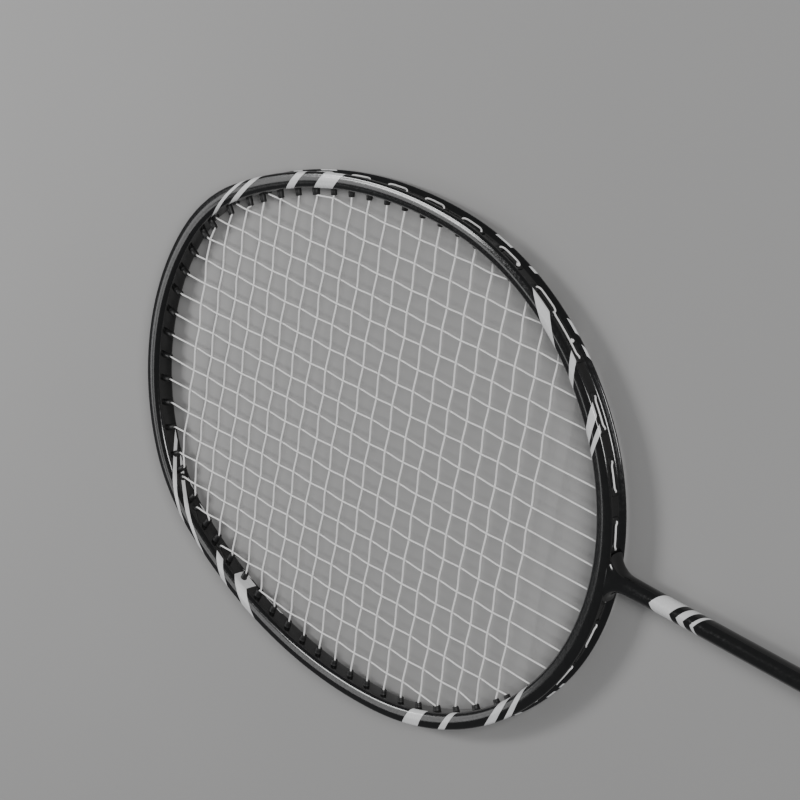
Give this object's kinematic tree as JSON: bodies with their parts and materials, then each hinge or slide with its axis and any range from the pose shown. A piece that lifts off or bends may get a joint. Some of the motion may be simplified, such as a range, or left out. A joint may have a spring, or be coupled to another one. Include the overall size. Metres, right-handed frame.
{
  "type": "badminton racket",
  "caption": "Strung badminton racket: grooved oval hoop, slim round shaft, tapered cone and octagonal wrapped handle with a flared butt cap.",
  "frame": {"origin": "centre of the butt's flat end face", "axes": "+Y from the butt to the tip of the hoop, +X sideways in the plane of the strings, +Z square to the strings"},
  "size_m": [0.1998, 0.675, 0.0272],
  "materials": {
    "lacquered_carbon": "glossy black lacquer over carbon fibre, with white slanted stripes",
    "throat_lacquer": "glossy black lacquer",
    "shaft_lacquer": "glossy black lacquer with white slanted bars",
    "connector_metal": "turned, satin",
    "cone_plastic": "moulded, glossy black",
    "handle_wood": "plain planed wood",
    "cap_plastic": "moulded, satin black",
    "disc_metal": "satin silver disc, plain rings",
    "staple_wire": "bright wire",
    "grip_wrap": "perforated synthetic grip tape, matt black",
    "finish_tape": "smooth black vinyl tape",
    "string": "white coated multifilament nylon",
    "knot": "white coated multifilament nylon",
    "grommet_nylon": "moulded black nylon"
  },
  "bodies": {
    "root": {"frame_hoop": "lacquered_carbon", "throat_joint": "throat_lacquer", "t_connector": "connector_metal", "shaft_tube": "shaft_lacquer", "cone_cap": "cone_plastic", "handle_core": "handle_wood", "butt_cap": "cap_plastic", "butt_disc": "disc_metal", "cap_staples": "staple_wire", "base_grip": "grip_wrap", "grip_tack": "staple_wire", "finish_tape": "finish_tape", "main_string": "string", "cross_string": "string", "main_knots": "knot", "cross_knots": "knot", "tip_grommets": "grommet_nylon", "right_grommets": "grommet_nylon", "left_grommets": "grommet_nylon", "throat_grommets": "grommet_nylon", "shared_grommets": "grommet_nylon", "centre_grommet": "grommet_nylon"}
  },
  "joints": []
}
